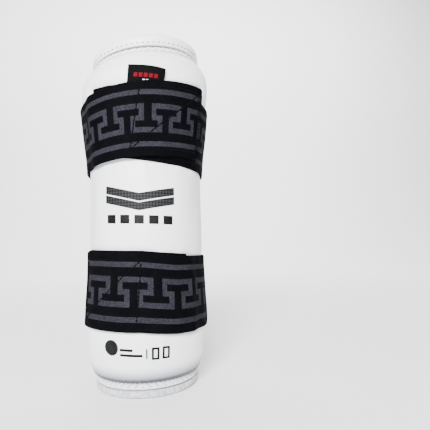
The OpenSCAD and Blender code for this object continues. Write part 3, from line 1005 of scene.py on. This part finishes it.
# How far the pad gives way under each strap, in mm, at angles in degrees from the front, counted in the
# direction in which the strap runs
UPPER_PRESSES = ((-180, 0.6), (-110, 0.1), (-70, 0.2), (-50, 1.4), (60, 1.6), (110, 1.2), (180, 0.6))
LOWER_PRESSES = ((-180, 1.4), (-110, 0.8), (-70, 1.2), (-50, 1.6), (60, 1.7), (80, 1.2), (110, 1.3),
                 (180, 1.4))
UPPER = Strap("upper", 1, UPPER_ROUTE, STRAP_W, -21.2, 30.2, UPPER_PRESSES, (46 * MM, 53 * MM))
LOWER = Strap("lower", -1, LOWER_ROUTE, 1.03 * STRAP_W, -19.6, 36.6, LOWER_PRESSES, (50 * MM, 47 * MM))

SETTLED = Settled()
settled_phi, settled_z, settled_move = settle_pad()
settled_move = np.clip(settled_move - 0.5 * MM, -SETTLE_LIMIT, SETTLE_LIMIT)
SETTLED.read(settled_phi, settled_z, settled_move)


# ---------------------------------------------------------------- trim

def film(name, outline, mat):
    """A thin film on the cover inside a convex outline of (length round the pad, height) in mm."""
    outline = np.array(outline, float)
    centre = outline.mean(axis=0)
    edge = []
    for a, b in zip(outline, np.roll(outline, -1, axis=0)):
        steps = max(int(np.linalg.norm(b - a) / FILM_STEP), 1)
        edge += [a + (b - a) * t for t in np.linspace(0, 1, steps, endpoint=False)]
    edge = np.array(edge)
    levels = np.linspace(1, 0, 14)[:-1]
    flat = np.concatenate([centre + (edge - centre) * t for t in levels] + [centre[None, :]])
    m = len(edge)
    phi = flat[:, 0] * MM / PAD_MID_R
    z = flat[:, 1] * MM
    top = place(phi, z, cover_r(phi, z) + FILM_T)
    low = place(phi, z, cover_r(phi, z) - 0.1 * MM)[:m]
    faces = grid_faces(len(levels), m, closed=True)
    tip = len(levels) * m
    faces += [(tip - m + j, tip - m + (j + 1) % m, tip) for j in range(m)]
    base = len(top)
    faces += [((j + 1) % m, j, base + j, base + (j + 1) % m) for j in range(m)]
    faces.append(tuple(base + j for j in range(m - 1, -1, -1)))
    uv = np.concatenate([flat, flat[:m]]) * 1.6
    return on_guard(solid(name, np.concatenate([top, low]), faces, mat, uv, sharp=40), "print_film")


def block(x, z, w, h):
    """Corners of an upright rectangle."""
    return [(x, z), (x + w, z), (x + w, z + h), (x, z + h)]


def outlined(x, z, w, h, line):
    """The four sides of a frame."""
    return [block(x, z, w, line), block(x, z + h - line, w, line),
            block(x, z + line, line, h - 2 * line), block(x + w - line, z + line, line, h - 2 * line)]


def disc(x, z, r, n=28):
    a = np.linspace(0, 2 * np.pi, n, endpoint=False)
    return [(x + r * math.cos(t), z + r * math.sin(t)) for t in a]


def make_prints():
    """A plain badge of chevrons over a row of blocks, and a row of small marks near the wrist."""
    chevrons = [[(-1.5, z), (side * 24 - 1.5, z + 5), (side * 24 - 1.5, z + 10.5), (-1.5, z + 5.5)]
                for side in (-1, 1) for z in (127, 133.5)]
    blocks = [block(9.7 * k - 4.7, 117.9, 6.4, 6) for k in (-2, -1, 0, 1, 2)]
    lower = [disc(-21, 34.6, 5.2), block(-14.6, 33, 8.7, 1.7), block(-14.6, 29.6, 15, 1.7)]
    lower += [block(2.6, 28.4, 0.9, 6.4)]
    lower += outlined(6.2, 27.6, 5, 8.2, 1.4) + outlined(13.2, 27.9, 5, 8.2, 1.4)
    groups = (("badge", chevrons, PRINT, "front_print"), ("badge_block", blocks, INK, None),
              ("wrist_mark", lower, INK, "lower_print"))
    for group, shapes, mat, node in groups:
        for k, shape in enumerate(shapes):
            obj = film(f"{group}_{k + 1}", [(x, z - PRINT_TILT * x) for x, z in shape], mat)
            if k == 0 and node:
                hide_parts(node)


def on_label(across, rise):
    """Angle, height and radius of the label's inner face, at -1 to 1 across it and 0 to 1 up it."""
    lo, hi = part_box("size_label")
    half = (hi.x - lo.x) / 2 / PAD_MID_R
    z = lo.z - 7.2 * MM + rise * (hi.z - lo.z + 6 * MM) - 2.0 * MM * across * rise
    phi = LABEL_ANGLE + 0.88 * half * across + 0.045 * (rise - 0.5)
    curl = 1.3 * MM * rise ** 2 + 0.5 * MM * np.sin(across * 2.4 + 0.6) * rise
    return phi, z, np.maximum(body_r(z), cover_r(phi, z)) + 0.3 * MM + curl


def label_piece(name, across, rise, low, high, mat):
    """A piece of the label, or of the yarn woven into it, between low and high above its inner face."""
    across, rise = np.meshgrid(across, rise)
    phi, z, r = on_label(across, rise)
    uv = np.stack([across * 12, rise * 24], -1)
    obj = sheet_mesh(name, place(phi, z, r + high), place(phi, z, r + low), mat, uv, 40)
    return on_guard(obj, "label_weave")


def make_label():
    """Woven label that stands up from behind the upper strap, curling away at its top."""
    label = label_piece("size_label_cloth", np.linspace(-1, 1, 40), np.linspace(0, 1, 30),
                        0, 0.45 * MM, LABEL)
    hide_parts("size_label")
    for k in range(5):
        left = -0.66 + 0.27 * k
        label_piece(f"label_dash_{k + 1}", np.linspace(left, left + 0.2, 8), np.linspace(0.62, 0.75, 6),
                    0.4 * MM, 0.6 * MM, LABEL_RED)
    for side, left in (("a", -0.16), ("b", 0.02)):
        label_piece(f"label_dot_{side}", np.linspace(left, left + 0.12, 6), np.linspace(0.49, 0.55, 5),
                    0.4 * MM, 0.6 * MM, LABEL_WHITE)


def seam_thread(name, inset, top, pitch, length, thick, mat, lift):
    """A row of stitches on the cover, inset from the top or bottom edge."""
    phi, z = inset_line(inset, top=top)
    line = place(phi, z, cover_r(phi, z) + lift)
    on_guard(stitch_run(name, line, facing(phi), pitch, length, thick, mat), "pu_leather")


def make_lip_stitches():
    """The row of stitches that holds the rolled lip, sunk into its groove."""
    inset, radius = LIP_STITCHES
    phi, z = inset_line(inset)
    obj = stitch_run("top_lip_stitches", place(phi, z, radius), facing(phi),
                     3.9 * MM, 2.1 * MM, 0.75 * MM, GREY_THREAD)
    on_guard(obj, "pu_leather")


def make_piping():
    """Thin cord that shows in the seam above the bottom tape."""
    phi = inset_line(PIPING_AT, top=False, count=260)[0][:, None]
    q = np.linspace(0, 2 * np.pi, 13)[:-1]
    r = MARGIN_R + 0.5 * MM + 0.08 * MM * np.sin(phi * 90) + PIPING_R * np.cos(q)
    rings = place(phi, PIPING_AT + PIPING_R * np.sin(q), r)
    on_guard(swept("bottom_piping_cord", rings, PIPING), "piping_cord", "bottom_piping")


# ---------------------------------------------------------------- build

def foam_top(phi, z):
    """Radius of the foam's outer face, just under the cover."""
    return np.maximum(cover_r(phi, z) - 1.2 * MM, CORE_R + 0.05 * MM)


make_cover()
shell_solid("foam_body", CORE_R, foam_top, FOAM_INSET, FOAM, "foam_core", "foam")
shell_solid("comfort_layer", LINING_R, CORE_R, LAYER_INSET, FOAM, "comfort_foam", "foam")
shell_solid("lining", LINING_INNER_R, LINING_R - 0.05 * MM, LAYER_INSET, LINING, "inner_lining", "lining",
            0.18 * MM)
make_binding("top_lip", "top", LEATHER, "top_binding", "pu_leather", 0.06 * MM, 9 * MM)
make_binding("bottom_tape", "bottom", TAPE, "bottom_binding", "binding_tape", 0.22 * MM, 4.4 * MM)
for edge_side in ("left", "right"):
    make_binding(f"{edge_side}_tape", edge_side, EDGE_TAPE, f"{edge_side}_edge_binding", "binding_tape",
                 0.06 * MM, 9 * MM)
seam_thread("top_seam_stitches", 13.9 * MM, True, 3.4 * MM, 2.0 * MM, 0.55 * MM, SOFT_THREAD, 0.15 * MM)
seam_thread("bottom_seam_stitches", 10.1 * MM, False, 3.2 * MM, 2.2 * MM, 0.5 * MM, WHITE_THREAD, 0.1 * MM)
make_lip_stitches()
make_piping()
make_prints()
make_label()
UPPER.build()
LOWER.build()

# ---------------------------------------------------------------- stage, light and camera

def make_stage():
    """A pale floor that curves up into a backdrop."""
    n = 40
    profile = [(-3.0, 0.0)] + [(1.2 + 0.8 * math.sin(t), 0.8 * (1 - math.cos(t)))
                               for t in np.linspace(0, math.pi / 2, n)] + [(2.0, 4.0)]
    verts = [(x, y, z - 0.0002) for y, z in profile for x in (-5, 5)]
    faces = [(2 * i, 2 * i + 1, 2 * i + 3, 2 * i + 2) for i in range(len(profile) - 1)]
    floor = new_object("stage_floor", verts, faces, stage_white("stage_white", (0.93, 0.93, 0.935)))


def aim(obj, at, rotation):
    """Places obj and turns it."""
    obj.location = at
    obj.rotation_mode = "QUATERNION"
    obj.rotation_quaternion = rotation


def area_light(name, at, target, size, power):
    """A rectangular light at one place that faces another."""
    data = bpy.data.lights.new(name, "AREA")
    data.shape = "RECTANGLE"
    data.size, data.size_y = size
    data.energy = power
    towards = Vector(np.array(target) - np.array(at))
    aim(linked(name, data), at, towards.to_track_quat("-Z", "Y"))


def make_light():
    """White surroundings, one large light from the front and one on the backdrop."""
    world = bpy.data.worlds.new("studio")
    bpy.context.scene.world = world
    world.use_nodes = True
    background = world.node_tree.nodes["Background"]
    background.inputs["Color"].default_value = (1.0, 1.0, 1.0, 1)
    background.inputs["Strength"].default_value = 0.45
    middle = (0, 0, HEIGHT / 2)
    area_light("key", (-0.25, -1.2, 0.72), middle, (0.5, 0.5), 66)
    area_light("back_wash", (0, 0.9, 1.6), (0, 2.0, 0.4), (2.6, 1.0), 85)


def make_camera():
    """The photograph's viewpoint: close to the guard, a little to its right, looking slightly up."""
    turn = math.radians(5.0)
    side, distance, height = 0.054, 0.302, 0.1016
    tilt, roll = math.radians(4.7), math.radians(-1.2)
    focal_px, frame_px = 380.0, 430.0
    data = bpy.data.cameras.new("camera")
    data.sensor_width = 36.0
    data.lens = focal_px / frame_px * data.sensor_width
    data.clip_start = 0.01
    obj = linked("camera", data)
    c, s = math.cos(turn), math.sin(turn)
    level = Euler((math.pi / 2 + tilt, 0, -turn)).to_quaternion()
    place_at = (side * c - distance * s, -side * s - distance * c, height)
    aim(obj, place_at, level @ Quaternion((0, 0, 1), roll))
    bpy.context.scene.camera = obj


make_stage()
make_light()
make_camera()
